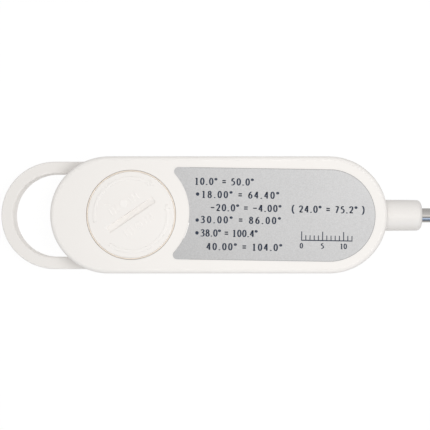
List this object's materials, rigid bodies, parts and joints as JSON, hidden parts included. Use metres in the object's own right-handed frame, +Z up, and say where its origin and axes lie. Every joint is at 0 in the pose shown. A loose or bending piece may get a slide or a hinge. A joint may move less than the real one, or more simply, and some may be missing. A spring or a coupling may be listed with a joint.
{
  "type": "darkroom thermometer",
  "caption": "Flat-handled digital stem thermometer with a long steel probe, a hanging loop, push keys, a display and a coin-turned battery cover.",
  "frame": {"origin": "centre of the handle's flat display face, which is the face it rests on", "axes": "+X along the probe to its tip, +Y across the handle, +Z up through the back with the battery cover"},
  "size_m": [0.2425, 0.028, 0.0142],
  "materials": {
    "shell_plastic": "satin",
    "cover_plastic": "satin",
    "collar_plastic": "satin",
    "key_plastic": "satin",
    "seal_rubber": "matte",
    "label_foil": "fine grain print",
    "probe_steel": "polished",
    "screw_steel": "zinc plated",
    "can_steel": "nickel plated",
    "contact_metal": "plated",
    "window_clear": "gloss",
    "display_glass": "gloss",
    "polariser_film": "satin",
    "frame_plastic": "matte",
    "strip_rubber": "matte",
    "foam": "matte",
    "tape_black": "matte",
    "board_laminate": "satin",
    "chip_resin": "gloss",
    "component_black": "matte",
    "component_tan": "matte",
    "switch_plastic": "matte",
    "switch_metal": "satin",
    "wire_enamel": "gloss",
    "bead_resin": "gloss",
    "potting_resin": "gloss"
  },
  "bodies": {
    "handle": {"front_shell": "shell_plastic", "back_shell": "shell_plastic", "button_cell": "can_steel", "negative_contact": "contact_metal", "positive_contact": "contact_metal", "circuit_board": "board_laminate", "chip_blob": "chip_resin", "crystal": "can_steel", "resistors": "component_black", "capacitors": "component_tan", "display_window": "window_clear", "window_tape": "tape_black", "display_frame": "frame_plastic", "front_polariser": "polariser_film", "rear_polariser": "polariser_film", "display_glass_front": "display_glass", "display_glass_rear": "display_glass", "contact_strip": "strip_rubber", "foam_pad": "foam", "switch_bases": "switch_plastic", "switch_plates": "switch_metal", "case_screws": "screw_steel", "back_label": "label_foil", "probe_collar": "collar_plastic", "probe_tube": "probe_steel", "thermistor": "bead_resin", "tip_potting": "potting_resin", "sensor_lead_1": "wire_enamel", "sensor_lead_2": "wire_enamel"},
    "cover": {"battery_cover": "cover_plastic", "cover_seal": "seal_rubber"},
    "power": {"power_key": "key_plastic", "power_plunger": "switch_plastic"},
    "hold": {"hold_key": "key_plastic", "hold_plunger": "switch_plastic"},
    "memory": {"memory_key": "key_plastic", "memory_plunger": "switch_plastic"},
    "unit": {"unit_key": "key_plastic", "unit_plunger": "switch_plastic"}
  },
  "joints": [
    {"name": "cover_turn", "type": "hinge", "parent": "handle", "child": "cover", "pos_m": [-0.02095, 0, 0.0139], "axis": [0, 0, 1], "range_deg": [0, 60]},
    {"name": "power_press", "type": "slide", "parent": "handle", "child": "power", "axis": [0, 0, 1], "range_m": [0, 0.00025], "stiffness_N_per_m": 6000},
    {"name": "hold_press", "type": "slide", "parent": "handle", "child": "hold", "axis": [0, 0, 1], "range_m": [0, 0.00025], "stiffness_N_per_m": 6000},
    {"name": "memory_press", "type": "slide", "parent": "handle", "child": "memory", "axis": [0, 0, 1], "range_m": [0, 0.00025], "stiffness_N_per_m": 6000},
    {"name": "unit_press", "type": "slide", "parent": "handle", "child": "unit", "axis": [0, 0, 1], "range_m": [0, 0.00025], "stiffness_N_per_m": 6000}
  ]
}
